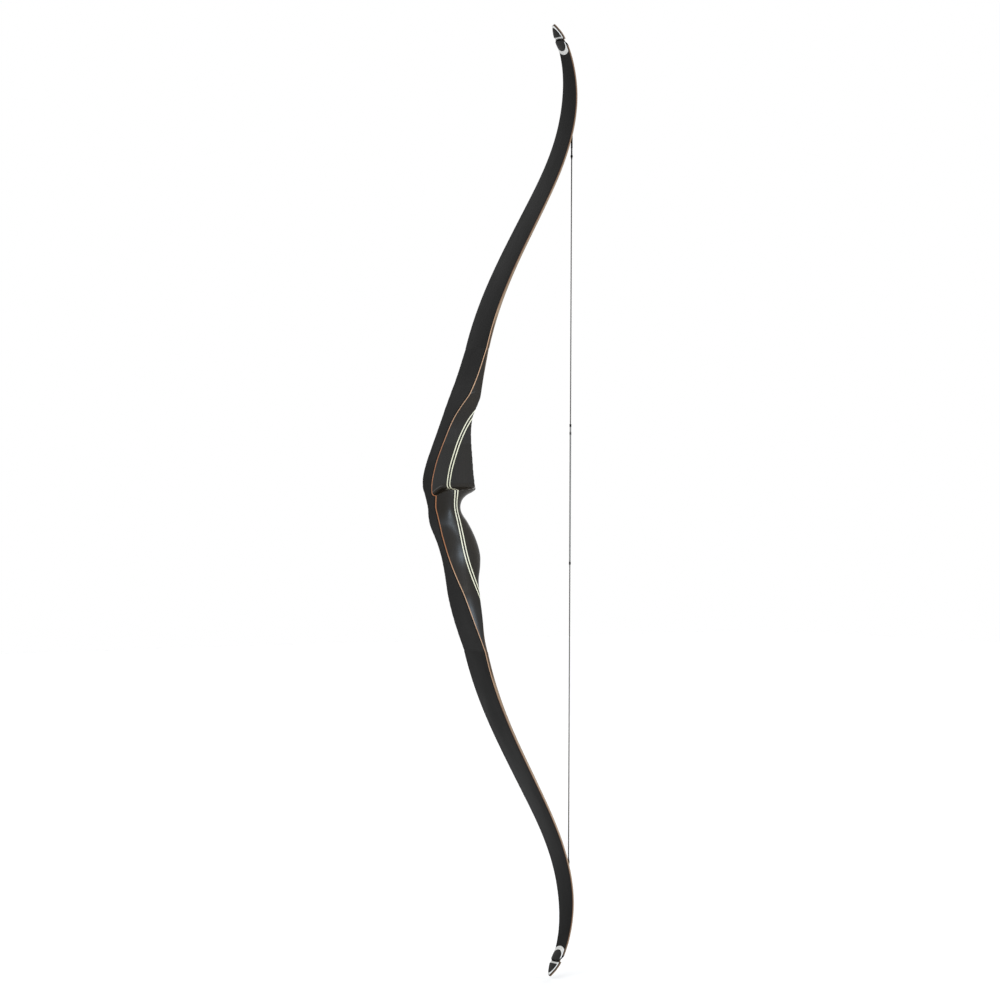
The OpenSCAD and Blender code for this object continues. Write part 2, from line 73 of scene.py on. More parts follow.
up = Vector((0, 0, 1))
camera_data = bpy.data.cameras.new("camera")
camera_data.sensor_width = 36
camera_data.lens = 108
camera_data.clip_end = 60
camera = bpy.data.objects.new("camera", camera_data)
scene.collection.objects.link(camera)
leant_right = (right * math.cos(lean) + up * math.sin(lean)).normalized()
leant_up = (up * math.cos(lean) - right * math.sin(lean)).normalized()
placed = Matrix((leant_right, leant_up, -ahead)).transposed().to_4x4()
placed.translation = right * side_step - ahead * stand_off
camera.matrix_world = placed
scene.camera = camera


# Studio
# A white sweep under the lower tip, a white surround and large soft lamps: the
# limbs' satin glass needs broad, even light, and the floor keeps a faint shadow.
ambient = 0.6
floor_drop = 0.004
floor_half = 9.0
floor_white = 0.93
floor_glow = 0.16


def node(tree, kind, inputs=None, **settings):
    """A new node. Each of its inputs is a plain value, or the socket that feeds it."""
    made = tree.nodes.new(kind)
    for key, value in settings.items():
        setattr(made, key, value)
    for key, value in (inputs or {}).items():
        if hasattr(value, "is_output"):
            tree.links.new(value, made.inputs[key])
        else:
            made.inputs[key].default_value = value
    return made


def math_node(tree, operation, a, b=0.0):
    return node(tree, "ShaderNodeMath", {0: a, 1: b}, operation=operation).outputs[0]


def emptied(owner):
    """The node tree of a world or a material, with nothing in it."""
    owner.use_nodes = True
    owner.node_tree.nodes.clear()
    return owner.node_tree


def in_sight(tree):
    """1 for what is seen straight, mirrored or through glass, and 0 for what only lights."""
    rays = node(tree, "ShaderNodeLightPath").outputs
    seen = math_node(tree, "MAXIMUM", rays["Is Camera Ray"], rays["Is Glossy Ray"])
    return math_node(tree, "MAXIMUM", seen, rays["Is Transmission Ray"])


scene.world = bpy.data.worlds.new("studio")
tree = emptied(scene.world)
strength = node(tree, "ShaderNodeMapRange", {"Value": in_sight(tree), "To Min": ambient, "To Max": 1.0})
surround = node(tree, "ShaderNodeBackground", {
    "Color": (1, 1, 1, 1), "Strength": strength.outputs["Result"]})
node(tree, "ShaderNodeOutputWorld", {"Surface": surround.outputs["Background"]})

floor_z = cad_box[0].z - floor_drop
floor_mesh = bpy.data.meshes.new("floor")
floor_mesh.from_pydata(
    [(floor_half * x, floor_half * y, floor_z) for x, y in ((-1, -1), (1, -1), (1, 1), (-1, 1))],
    [], [(0, 1, 2, 3)],
)
floor = bpy.data.objects.new("floor", floor_mesh)
scene.collection.objects.link(floor)
paper = bpy.data.materials.new("studio_paper")
tree = emptied(paper)
matt = node(tree, "ShaderNodeBsdfDiffuse", {"Color": (floor_white, floor_white, floor_white, 1)})
glow = node(tree, "ShaderNodeEmission", {
    "Strength": math_node(tree, "MULTIPLY", in_sight(tree), floor_glow)})
both = node(tree, "ShaderNodeAddShader", {0: matt.outputs[0], 1: glow.outputs[0]})
node(tree, "ShaderNodeOutputMaterial", {"Surface": both.outputs[0]})
floor_mesh.materials.append(paper)


def lamp(name, kind, energy, color, toward, at=(0, 0, 0), **settings):
    """A lamp whose light comes from the direction toward."""
    light = bpy.data.lights.new(name, kind)
    light.energy, light.color = energy, color
    for key, value in settings.items():
        setattr(light, key, value)
    made = bpy.data.objects.new(name, light)
    made.location = at
    made.rotation_euler = Vector(toward).to_track_quat("Z", "Y").to_euler()
    scene.collection.objects.link(made)


# Wide distant lamps, so that both tips of the tall bow get the same light.
for name, spread, energy, color, toward in (
    ("key", 40, 0.95, (1.0, 0.99, 0.97), (-0.80, -0.45, 0.50)),
    ("window", 22, 0.6, (0.90, 0.95, 1.0), (0.32, -0.82, 0.48)),
    ("back", 40, 0.75, (1.0, 1.0, 1.0), (0.80, 0.45, 0.55)),
):
    lamp(name, "SUN", energy, color, toward, angle=math.radians(spread))
# A small near one puts the long highlight on the grip.
reflector_at = Vector((0.82, -1.95, -0.19))
lit_grip = Vector((-0.02, 0, -0.03))
lamp("reflector", "AREA", 10.0, (0.70, 0.85, 1.0), reflector_at - lit_grip, reflector_at,
     shape="RECTANGLE", size=0.34, size_y=0.36)
scene.view_settings.view_transform = "Standard"


# Wood of the riser
# Dark, close-grained hardwood, laid up with the grain running along the bow and
# sealed with a thin satin lacquer. The grain follows the coordinates of the lay-up.
MM = 0.001


def mix_colors(tree, factor, a, b, blend="MIX"):
    """A colour mix whose factor and colours may be sockets or plain values."""
    a, b = (color if hasattr(color, "is_output") else (*color, 1) for color in (a, b))
    mixed = node(tree, "ShaderNodeMix", {0: factor, 6: a, 7: b}, data_type="RGBA", blend_type=blend)
    return mixed.outputs[2]


def ramp(tree, value, low, high):
    """Value brought from the range low to high onto 0 to 1, smoothly."""
    ends = {"Value": value, "From Min": low, "From Max": high}
    return node(tree, "ShaderNodeMapRange", ends, interpolation_type="SMOOTHSTEP").outputs["Result"]


def speckle(tree, vector, scale, detail, low, high, roughness=0.55):
    """Noise with a scale along each axis, brought from the range low to high onto 0 to 1."""
    scaled = node(tree, "ShaderNodeMapping", {"Vector": vector, "Scale": scale})
    values = {"Vector": scaled.outputs["Vector"], "Scale": 1.0, "Detail": detail, "Roughness": roughness}
    return ramp(tree, node(tree, "ShaderNodeTexNoise", values).outputs["Fac"], low, high)


def new_group(name, kind, inputs, outputs):
    """A node group whose sockets are given as name, kind and any default, and what it is fed."""
    group = bpy.data.node_groups.new(name, kind)
    for way, sockets in (("INPUT", inputs), ("OUTPUT", outputs)):
        for title, data, *default in sockets:
            made = group.interface.new_socket(name=title, in_out=way, socket_type="NodeSocket" + data)
            if default:
                made.default_value = default[0]
    return group, node(group, "NodeGroupInput").outputs


def wood_grain_group():
    """Figure, grain lines and pores of wood whose grain runs along Z."""
    group, given = new_group("wood_grain", "ShaderNodeTree", [
        ("Vector", "Vector"), ("Dark", "Color", (0.05, 0.04, 0.03, 1)),
        ("Light", "Color", (0.2, 0.15, 0.1, 1)), ("Line Strength", "Float", 0.5),
    ], [("Color", "Color"), ("Roughness", "Float"), ("Height", "Float")])
    figure = speckle(group, given["Vector"], (26, 30, 3.2), 3.0, 0.32, 0.7)
    lines = speckle(group, given["Vector"], (520, 560, 14), 3.0, 0.36, 0.66, 0.6)
    pores = speckle(group, given["Vector"], (1700, 1900, 75), 1.0, 0.62, 0.72)
    body = mix_colors(group, figure, given["Dark"], given["Light"])
    line_share = math_node(group, "MULTIPLY", lines, given["Line Strength"])
    lined = mix_colors(group, line_share, body, given["Dark"])
    pored = mix_colors(group, math_node(group, "MULTIPLY", pores, 0.45), lined, (0.01, 0.008, 0.006))
    rough = node(group, "ShaderNodeMapRange", {"Value": lines, "To Min": 0.34, "To Max": 0.5})
    node(group, "NodeGroupOutput", {
        "Color": pored, "Roughness": rough.outputs["Result"],
        "Height": math_node(group, "SUBTRACT", 1.0, pores)})
    return group


wood_grain = wood_grain_group()


def attribute(tree, name, output="Vector"):
    return node(tree, "ShaderNodeAttribute", attribute_name=name).outputs[output]


def bumped(tree, height, strength, distance):
    values = {"Height": height, "Strength": strength, "Distance": distance}
    return node(tree, "ShaderNodeBump", values).outputs["Normal"]


def surfaced(tree, inputs):
    """Ends a material's tree in a Principled shader with those inputs."""
    shader = node(tree, "ShaderNodeBsdfPrincipled", inputs)
    node(tree, "ShaderNodeOutputMaterial", {"Surface": shader.outputs["BSDF"]})


def wood(name, dark, light, line_strength, coat, stains=()):
    """Lacquered wood. Each stain is a colour that comes in from one distance past the fade
    to the next, or goes out where the second is the less. On the riser they are negative."""
    made = bpy.data.materials.new(name)
    tree = emptied(made)
    grain = node(tree, "ShaderNodeGroup", {
        "Vector": attribute(tree, "laid"), "Dark": (*dark, 1), "Light": (*light, 1),
        "Line Strength": line_strength}, node_tree=wood_grain).outputs
    color = grain["Color"]
    run = attribute(tree, "run", "Fac")
    for low, high, share, stain in stains:
        amount = math_node(tree, "MULTIPLY", ramp(tree, run, low * MM, high * MM), share)
        color = mix_colors(tree, amount, color, stain)
    surfaced(tree, {
        "Base Color": color, "Roughness": grain["Roughness"], "Specular IOR Level": 0.08,
        "Coat Weight": coat, "Coat Roughness": 0.24, "Normal": bumped(tree, grain["Height"], 0.25, 0.0002)})
    return made


riser_wood = wood("riser_wood", (0.0062, 0.0046, 0.0027), (0.0155, 0.0116, 0.007), 0.55, 0.30)


# Riser blank
# One glued block, band-sawn and rasped to shape: the outlines below are its back,
# its belly and its widths. The sight window and the shelf are cut out of it, and
# every edge is eased by hand, so the whole block is smoothed before it is sliced.
fade_z = 228.0
fade_x = 30.5
lean_root = 16.0
limb_t = 6.8
window_y = 3.0
fade_depth = fade_x + limb_t / math.cos(math.radians(lean_root))

back_points = [
    (-228, 30.5), (-183, 10.4), (-127, -11.2), (-70, -32.3), (-35, -46.2), (0, -53), (20, -54.2),
    (50, -47.6), (96, -28), (139, -9.2), (183, 12.6), (228, 30.5),
]
belly_points = [
    (-228, fade_depth), (-208, 32.6), (-180, 30.2), (-150, 29.4), (-123, 31.8), (-99, 38.2), (-84, 39.2),
    (-68, 34.8), (-50, 25.6), (-32, 13.2), (-18, 1.8), (-12, 0), (-5, 0.6), (2, 4.8), (8, 13.6), (12, 23),
    (15.5, 28.4), (18.5, 29), (25, 28.4), (38, 26.4), (60, 24.2), (96, 21), (125, 20.6), (146, 24),
    (168, 26.4), (183, 28.6), (198, 31.4), (228, fade_depth),
]
back_half_points = [
    (-228, 25.5), (-183, 23.8), (-156, 21.6), (-141, 19.4), (-127, 15.8), (-112, 12.2), (-98, 9.6),
    (-84, 8), (-70, 7.8), (-55, 8.9), (-38, 11.4), (-24, 10.6), (-12, 8.7), (-3, 10.2), (8, 13.4),
    (17, 17.2), (28, 19.6), (67, 20.5), (96, 21.2), (124, 21.4), (141, 22.2), (168, 24.2),
    (197, 25.2), (228, 25.5),
]
mid_half_points = [
    (-228, 25.5), (-183, 24.6), (-156, 22.9), (-141, 21.2), (-127, 18.7), (-112, 16.3), (-98, 14.6),
    (-84, 13.8), (-70, 14), (-50, 15.3), (-30, 16.2), (-12, 17.4), (-3, 19.2), (7, 22), (16, 24.2),
    (24, 24.5), (60, 24.2), (124, 24), (168, 24.8), (228, 25.5),
]
square_points = [
    (-228, 12), (-180, 9), (-150, 5), (-120, 3), (-95, 2.4), (-30, 2.2), (-5, 2.1), (14, 1.9), (20, 1.9),
    (27, 2.7), (40, 3.2), (110, 3.4), (140, 5), (170, 9), (228, 12),
]


def curve(points, at):
    """The smooth curve through points, read at each value of at."""
    p = np.array(points, float)
    x, y = p[:, 0], p[:, 1]
    run = np.diff(x)
    rise = np.diff(y) / run
    inner = (rise[:-1] * run[1:] + rise[1:] * run[:-1]) / (run[:-1] + run[1:])
    slope = np.concatenate([[rise[0]], inner, [rise[-1]]])
    at = np.asarray(at, float)
    i = np.clip(np.searchsorted(x, at, side="right") - 1, 0, len(x) - 2)
    h = run[i]
    t = (at - x[i]) / h
    return (
        y[i] * (1 + 2 * t) * (1 - t) ** 2 + slope[i] * h * t * (1 - t) ** 2
        + y[i + 1] * t * t * (3 - 2 * t) + slope[i + 1] * h * t * t * (t - 1)
    )


def tube_faces(rings, around):
    """Quads between closed rings, and the two end faces, facing outwards."""
    faces = [tuple(range(around))]
    for r in range(rings - 1):
        for i in range(around):
            j = (i + 1) % around
            faces.append((r * around + i, (r + 1) * around + i, (r + 1) * around + j, r * around + j))
    faces.append(tuple((rings - 1) * around + i for i in reversed(range(around))))
    return faces


def mesh_of(name, points, faces):
    made = bpy.data.meshes.new(name)
    made.from_pydata([tuple(p) for p in points], [], faces)
    made.update()
    return made


def riser_blank():
    """The shaped block, a ring of points at each height. It is left 8 mm long at both ends."""
    end_z = fade_z + 8
    heights = np.concatenate([
        np.arange(-end_z, -40, 2.0), np.arange(-40, 40, 0.8), np.arange(40, end_z + 0.1, 2.0)])
    side, end = 12, 26
    rings = []
    for z in heights:
        back = float(curve(back_points, z))
        depth = float(curve(belly_points, z)) - back
        back_half, mid_half = float(curve(back_half_points, z)), float(curve(mid_half_points, z))
        power = 2 / float(curve(square_points, z))
        t = np.arange(side) / side
        a = np.radians(90 * (1 - (1 - np.arange(end) / end) ** 1.6))
        x = np.concatenate([back + depth * 0.5 * t, back + depth * (0.5 + 0.5 * np.sin(a) ** power)])
        y = np.concatenate([
            back_half + (mid_half - back_half) * np.sin(np.radians(90 * t)), mid_half * np.cos(a) ** power])
        near = [(px, -py, z) for px, py in zip(x, y)]
        far = [(px, py, z) for px, py in zip(x[::-1], y[::-1])]
        rings += near + [(back + depth, 0, z)] + far
    return mesh_of("riser_blank", rings, tube_faces(len(heights), 2 * (side + end) + 1))


def edited(mesh, change):
    """mesh after a change to its points and faces."""
    work = bmesh.new()
    work.from_mesh(mesh)
    change(work)
    work.to_mesh(mesh)
    work.free()
    return mesh


def outward(mesh):
    """mesh with its normals turned outwards."""
    def turn(work):
        if work.calc_volume(signed=True) < 0:
            bmesh.ops.reverse_faces(work, faces=work.faces)

    return edited(mesh, turn)


def prism(name, outline, axis, low, high):
    """A closed prism from low to high along axis, of an outline in the other two."""
    n = len(outline)
    if axis == "Y":
        points = [(a, y, b) for y in (low, high) for a, b in outline]
    else:
        points = [(x, a, b) for x in (low, high) for a, b in outline]
    faces = [tuple(range(n)), tuple(reversed(range(n, 2 * n)))]
    faces += [(i, i + n, (i + 1) % n + n, (i + 1) % n) for i in range(n)]
    return edited(mesh_of(name, points, faces),
                  lambda work: bmesh.ops.recalc_face_normals(work, faces=work.faces))


def worked(mesh, kind, inputs=None, **settings):
    """The mesh that one modifier makes of mesh. Inputs go to its node group, by identifier."""
    made = bpy.data.objects.new("work", mesh)
    scene.collection.objects.link(made)
    modifier = made.modifiers.new("work", kind)
    for key, value in settings.items():
        setattr(modifier, key, value)
    for key, value in (inputs or {}).items():
        modifier[key] = value
    ready = made.evaluated_get(bpy.context.evaluated_depsgraph_get())
    result = bpy.data.meshes.new_from_object(ready)
    bpy.data.objects.remove(made)
    return result


def boolean(body, tool, operation):
    """body with tool taken away or kept in common, as a new mesh."""
    cutter = bpy.data.objects.new("cutter", tool)
    scene.collection.objects.link(cutter)
    result = worked(body, "BOOLEAN", object=cutter, operation=operation, solver="MANIFOLD")
    bpy.data.objects.remove(cutter)
    return result


def remeshed(body, voxel):
    """body rebuilt as even quads of about one voxel."""
    return worked(body, "REMESH", mode="VOXEL", voxel_size=voxel)


def arrays(mesh):
    """A mesh's points, and the two points of each edge."""
    points = np.zeros(len(mesh.vertices) * 3)
    mesh.vertices.foreach_get("co", points)
    edges = np.zeros(len(mesh.edges) * 2, int)
    mesh.edges.foreach_get("vertices", edges)
    return points.reshape(-1, 3), edges.reshape(-1, 2)


smoothing, swelling = 0.52, 0.507
sanded = 0.04


def eased(mesh, rounds):
    """Takes the voxel steps out, eases the edges and sands the surface down a little."""
    points, edges = arrays(mesh)
    n = len(points)
    a, b = edges[:, 0], edges[:, 1]
    degree = np.bincount(edges.ravel(), minlength=n)[:, None]
    for step in range(2 * rounds):
        total = np.stack([
            np.bincount(a, points[b, k], n) + np.bincount(b, points[a, k], n) for k in range(3)
        ], axis=1)
        points = points + (smoothing if step % 2 == 0 else -swelling) * (total / degree - points)
    mesh.vertices.foreach_set("co", points.ravel())
    mesh.update()
    outward_way = np.empty(3 * n)
    mesh.vertex_normals.foreach_get("vector", outward_way)
    mesh.vertices.foreach_set("co", points.ravel() - sanded * outward_way)
    mesh.update()
    return mesh


window_sweep = [(84, window_y), (110, 5), (124, 8), (139, 14.6), (153, 21.8), (168, 27)]
window_top = 168
shelf_line = [(-70, -10.5), (-49, 8.5), (-37, 15.8), (-21, 17.3), (0, 18), (60, 18)]
shelf_droop = 3.4
shelf_corner_r = 6


def above_shelf():
    """Everything above the arrow shelf. Its outer side is rounded down towards the hand,
    and the rasp has left the inner corner round."""
    runs = np.arange(-70, 61, 2.0)
    across = np.concatenate([
        [-40], np.arange(-26, -10, 1.0), np.arange(-10, -window_y, 0.5), [-window_y, 10]])
    into_corner = np.clip(window_y + shelf_corner_r + across, 0, shelf_corner_r)
    inner_corner = shelf_corner_r - np.sqrt(shelf_corner_r ** 2 - into_corner ** 2)
    drop = shelf_droop * np.clip((-across - window_y) / 22, 0, 1) ** 2 - inner_corner
    rings = []
    for x in runs:
        rings += [(x, y, z) for y, z in zip(across, float(curve(shelf_line, x)) - drop)]
        rings += [(x, 10, window_top), (x, -40, window_top)]
    return outward(mesh_of("above_shelf", rings, tube_faces(len(runs), len(across) + 2)))


window_edge = [(-float(curve(window_sweep, z)), z) for z in range(84, window_top + 1, 3)]
window_side = prism(
    "window_side", [(-60, -60), (-window_y, -60)] + window_edge + [(-27, window_top), (-60, window_top)],
    "X", -90, 90,
)
window_cutter = boolean(above_shelf(), window_side, "INTERSECT")
riser_body = eased(remeshed(boolean(riser_blank(), window_cutter, "DIFFERENCE"), 0.95), 9)


# Slicing a block into its laminations
# The laminations were glued flat and the block shaped afterwards, so each one is
# a slice of the finished block between two glue lines, and stays flush with it.
def move(work, change):
    """Moves the points of a mesh that is being worked on."""
    for v, p in zip(work.verts, change(np.array([v.co for v in work.verts]))):
        v.co = p


def glue_face(work, rim, cell, facing_up):
    """Closes the open rim, which lies flat at x = 0, with triangles about one cell wide.
    Its corners stay in the order of the rim, so that every run gives the same faces."""
    corners = list(dict.fromkeys(v for e in rim for v in e.verts))
    index = {v: i for i, v in enumerate(corners)}
    flat = [Vector((v.co.y, v.co.z)) for v in corners]
    low = (min(p.x for p in flat), min(p.y for p in flat))
    high = (max(p.x for p in flat), max(p.y for p in flat))
    inner = [
        Vector((a, b))
        for a in np.arange(low[0] + cell / 2, high[0], cell)
        for b in np.arange(low[1] + cell / 2, high[1], cell)
    ]
    lines = [(index[e.verts[0]], index[e.verts[1]]) for e in rim]
    found, _, faces, sources, _, _ = delaunay_2d_cdt(flat + inner, lines, [], 1, 1e-7)
    fresh = {}
    for i in {i for f in faces for i in f}:
        source = [s for s in sources[i] if s < len(corners)]
        fresh[i] = corners[source[0]] if source else work.verts.new((0, found[i].x, found[i].y))
    for f in faces:
        triangle = [fresh[i] for i in f]
        if work.faces.get(triangle) is None:
            work.faces.new(triangle if facing_up else triangle[::-1])


def capped_side(mesh, field, back, keep_low, cell):
    """The part of mesh on one side of field = 0, closed by a face along the glue line.
    field gives a point's distance from the line as its first coordinate; back undoes it."""
    def cut(work):
        move(work, field)
        bmesh.ops.bisect_plane(
            work, geom=work.verts[:] + work.edges[:] + work.faces[:], dist=1e-6, plane_co=(0, 0, 0),
            plane_no=(1, 0, 0), clear_outer=keep_low, clear_inner=not keep_low,
        )
        rim = [e for e in work.edges if e.is_boundary]
        if rim:
            glue_face(work, rim, cell, keep_low)
        move(work, back)

    return edited(mesh.copy(), cut)


def sliced(mesh, line):
    """mesh in front of and behind the glue line x = line(z)."""
    def shifted(way):
        return lambda p: np.column_stack([p[:, 0] + way * line(p[:, 2]), p[:, 1], p[:, 2]])

    return [capped_side(mesh, shifted(-1), shifted(1), front, 4.0) for front in (True, False)]


def cut_level(mesh, z, keep_low):
    """mesh below or above the level z."""
    return capped_side(mesh, lambda p: np.roll(p - (0, 0, z), 1, axis=1),
                       lambda p: np.roll(p, -1, axis=1) + (0, 0, z), keep_low, 3.0)


def line_off(points, depth):
    """The glue line so deep behind the smooth curve through points."""
    def line(z):
        slope = (curve(points, z + 1) - curve(points, z - 1)) / 2
        return curve(points, z) + depth * np.sqrt(1 + slope * slope)

    return line


glass_t = 1.1
back_core_t = 1.3
stripe_points = [
    (-176, 40), (-152, 27), (-139, 21), (-112, 10.6), (-84, 1.2), (-55, -7.8), (-32, -14.9), (-9, -21.6),
    (18, -25), (45, -20.9), (70, -12.4), (103, 2), (134, 20.2), (150, 32),
]
stripe_t = 1.8
stripe_gap = 3.1
stripes_top, stripes_foot = 145, -160
ramp_up_z = 150.0
ramp_low_z = 166.0
fade_tip_t = 0.3
ramp_core_t = limb_t - 2 * glass_t - back_core_t - fade_tip_t


def ramp_line(core_t):
    """The glue line under a ramp's glass, or under its core, which grows to core_t at the fade."""
    def line(z):
        share = np.where(
            z > 0, (z - ramp_up_z) / (fade_z - ramp_up_z), (-z - ramp_low_z) / (fade_z - ramp_low_z))
        return line_off(belly_points, -(glass_t + core_t * np.maximum(0, share)))(z)

    return line


def front_block_line(z):
    ends = (z > ramp_up_z) | (z < -ramp_low_z)
    return np.where(ends, ramp_line(ramp_core_t)(z), line_off(stripe_points, 0)(z))


def separate(mesh, test):
    """The parts of mesh whose points pass the test."""
    return edited(mesh.copy(), lambda work: bmesh.ops.delete(
        work, geom=[v for v in work.verts if not test(v.co)], context="VERTS"))


pieces = {}
rest = cut_level(cut_level(riser_body, fade_z, True), -fade_z, False)
pieces["riser_back_glass"], rest = sliced(rest, line_off(back_points, glass_t))
pieces["riser_back_core"], rest = sliced(rest, line_off(back_points, glass_t + back_core_t))
pieces["riser_front_block"], rest = sliced(rest, front_block_line)
for side, test in (("upper", lambda p: p.z > stripes_top), ("lower", lambda p: p.z < stripes_foot)):
    ramp_core, ramp_glass = sliced(separate(rest, test), ramp_line(0))
    pieces[side + "_ramp_core"], pieces[side + "_ramp_glass"] = ramp_core, ramp_glass
rest = separate(rest, lambda p: stripes_foot <= p.z <= stripes_top)
for name, depth in (
    ("front_pale_stripe", stripe_t), ("dark_stripe", stripe_t + stripe_gap),
    ("rear_pale_stripe", 2 * stripe_t + stripe_gap),
):
    pieces[name], rest = sliced(rest, line_off(stripe_points, depth))
pieces["grip_block"] = rest


def place(name, mesh, material, laid=None):
    """Shows a mesh made in millimetres as a piece in metres that stands for the CAD node name.
    laid gives the coordinates that the piece was laid up in, with its run past the fade as
    the third. A riser piece keeps its own, and its run is negative."""
    points, _ = arrays(mesh)
    coordinates = points if laid is None else laid(points)
    run = np.abs(points[:, 2]) - fade_z if laid is None else coordinates[:, 2]
    for title, kind, field, values in (
        ("laid", "FLOAT_VECTOR", "vector", coordinates), ("run", "FLOAT", "value", run),
    ):
        mesh.attributes.new(title, kind, "POINT").data.foreach_set(field, (values * MM).ravel())
    mesh.vertices.foreach_set("co", (points * MM).ravel())
    mesh.shade_smooth()
    mesh.set_sharp_from_angle(angle=math.radians(38))
    mesh.materials.clear()
    mesh.materials.append(material)
    made = bpy.data.objects.new(name + "_finished", mesh)
    scene.collection.objects.link(made)
    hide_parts(name)
    return made


def show_slices(names, material):
    """Shows slices of the riser block, which all stay with it."""
    for name in names:
        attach(place(name, pieces[name], material), "riser")


show_slices(("riser_front_block", "dark_stripe", "grip_block"), riser_wood)


# Accent stripes
# Two pale laminations with a dark one between, glued into the riser on a long bend.
# They are a close, even wood with hardly any grain, under the same satin lacquer.
pale_accent = wood("pale_accent", (0.78, 0.77, 0.57), (0.90, 0.89, 0.73), 0.35, 0.1)
show_slices(("front_pale_stripe", "rear_pale_stripe"), pale_accent)


# Glass facings
# Thin strips of glass fibre in dark resin cover the back and the belly. The fibres
# run straight along the bow and show as fine streaks in a satin surface.
def fibre_group():
    """Streaks of fibre along the third coordinate, with fine pits between them."""
    group, given = new_group("glass_fibre", "ShaderNodeTree", [("Vector", "Vector")], [
        ("Streaks", "Float"), ("Cloud", "Float"), ("Roughness", "Float"), ("Height", "Float")])
    streaks = speckle(group, given["Vector"], (2300, 2300, 9), 3.0, 0.35, 0.68)
    cloud = speckle(group, given["Vector"], (38, 38, 11), 4.0, 0.3, 0.72)
    pits = speckle(group, given["Vector"], (2600, 2600, 700), 1.0, 0.66, 0.74)
    rough = node(group, "ShaderNodeMapRange", {"Value": cloud, "To Min": 0.4, "To Max": 0.54})
    node(group, "NodeGroupOutput", {
        "Streaks": streaks, "Cloud": cloud, "Roughness": rough.outputs["Result"],
        "Height": math_node(group, "SUBTRACT", streaks, pits)})
    return group


glass_fibre = fibre_group()


def facing(name, dark, light, haze, specular, edge=None):
    """Fibre in dark resin. Where an edge colour is given, the sawn edges show it."""
    made = bpy.data.materials.new(name)
    tree = emptied(made)
    laid = attribute(tree, "laid")
    fibre = node(tree, "ShaderNodeGroup", {"Vector": laid}, node_tree=glass_fibre).outputs
    streaked = mix_colors(tree, fibre["Streaks"], dark, light)
    color = mix_colors(tree, math_node(tree, "MULTIPLY", fibre["Cloud"], 0.35), streaked, haze)
    if edge:
        normal = node(tree, "ShaderNodeTexCoord").outputs["Normal"]
        sideways = node(tree, "ShaderNodeSeparateXYZ", {0: normal}).outputs["Y"]
        sawn = ramp(tree, math_node(tree, "ABSOLUTE", sideways), 0.72, 0.95)
        sawn_edge = mix_colors(tree, fibre["Streaks"], edge, tuple(0.7 * c for c in edge))
        color = mix_colors(tree, sawn, color, sawn_edge)
    surfaced(tree, {
        "Base Color": color, "Roughness": fibre["Roughness"], "Specular IOR Level": specular,
        "Normal": bumped(tree, fibre["Height"], 0.12, 0.0001)})
    return made


resin = ((0.003, 0.003, 0.0029), (0.0058, 0.0058, 0.0056), (0.0085, 0.0085, 0.0085), 0.11)
dark_glass = facing("dark_glass", *resin)
show_slices(("riser_back_glass", "upper_ramp_glass", "lower_ramp_glass"), dark_glass)


# Wood laminations
# Under the back glass lies a strip of orange-brown wood, redder along the grip; under
# it the tapered core is a paler tan wood, dark where it feathers out at the fades.
tip_stain = (484, 516, 0.65, (0.05, 0.034, 0.024))
grip_stain = (-95, -165, 0.85, (0.33, 0.125, 0.052))
limb_stain = (35, 110, 0.88, (0.085, 0.036, 0.022))
fade_stain = (62, 30, 0.88, (0.045, 0.028, 0.018))
back_core_wood = wood("back_core_wood", (0.46, 0.28, 0.17), (0.68, 0.45, 0.29), 0.5, 0.1,
                      [grip_stain, limb_stain, tip_stain])
core_wood = wood("core_wood", (0.275, 0.195, 0.13), (0.47, 0.35, 0.24), 0.5, 0.1,
                 [fade_stain, tip_stain])
show_slices(("riser_back_core",), back_core_wood)
show_slices(("upper_ramp_core", "lower_ramp_core"), core_wood)


# Limbs
# Each limb is four strips pressed together on a curved form: glass, orange wood, tan
# core, glass. They were ground flush, tapered to the tip, and the long edges rounded.
limb_len = 551.0
lean_mid = 31.5
mid_s = 208.0
hook_s = 238.0
hook_turn = 71.4
limb_t_tip = 4.3
taper_s = 430.0
edge_r = 0.85
joint_s = 100.0
tip_s = 484.0
fine_s = np.arange(limb_len + 1)


def lean_at(s):
    """Lean of the limb from upright at the distance s along its back, in radians."""
    s = np.asarray(s, float)
    eased_in = 1 - np.sin(np.pi / 2 * np.clip(s, 0, mid_s) / mid_s)
    hook = np.maximum(0, (s - hook_s) / (limb_len - hook_s)) ** 2
    return np.radians(lean_mid - (lean_mid - lean_root) * eased_in - hook_turn * hook)


mid_lean = lean_at(fine_s[:-1] + 0.5)
back_x = fade_x + np.concatenate([[0], np.cumsum(np.sin(mid_lean))])
back_z = fade_z + np.concatenate([[0], np.cumsum(np.cos(mid_lean))])


def on_limb(q):
    """Points given as width, depth under the back and distance along the limb, in the frame."""
    y, d, s = q[:, 0], q[:, 1], q[:, 2]
    a = lean_at(s)
    x, z = np.interp(s, fine_s, back_x), np.interp(s, fine_s, back_z)
    return np.column_stack([x + d * np.cos(a), y, z - d * np.sin(a)])


def off_limb(p):
    """The opposite of on_limb."""
    def seen_from(s):
        """How far the points are along the limb and under its back, from the place s."""
        a = lean_at(s)
        x, z = p[:, 0] - np.interp(s, fine_s, back_x), p[:, 2] - np.interp(s, fine_s, back_z)
        return x * np.sin(a) + z * np.cos(a), x * np.cos(a) - z * np.sin(a)

    s = np.clip((p[:, 2] - fade_z) * 1.1, 0, limb_len)
    for _ in range(40):
        s = np.clip(s + 0.8 * seen_from(s)[0], 0, limb_len)
    return np.column_stack([p[:, 1], seen_from(s)[1], s])


def thick(s):
    """Thickness of the limb at the distance s along it."""
    return limb_t_tip + (limb_t - limb_t_tip) * np.maximum(0, 1 - np.asarray(s) / taper_s) ** 1.2


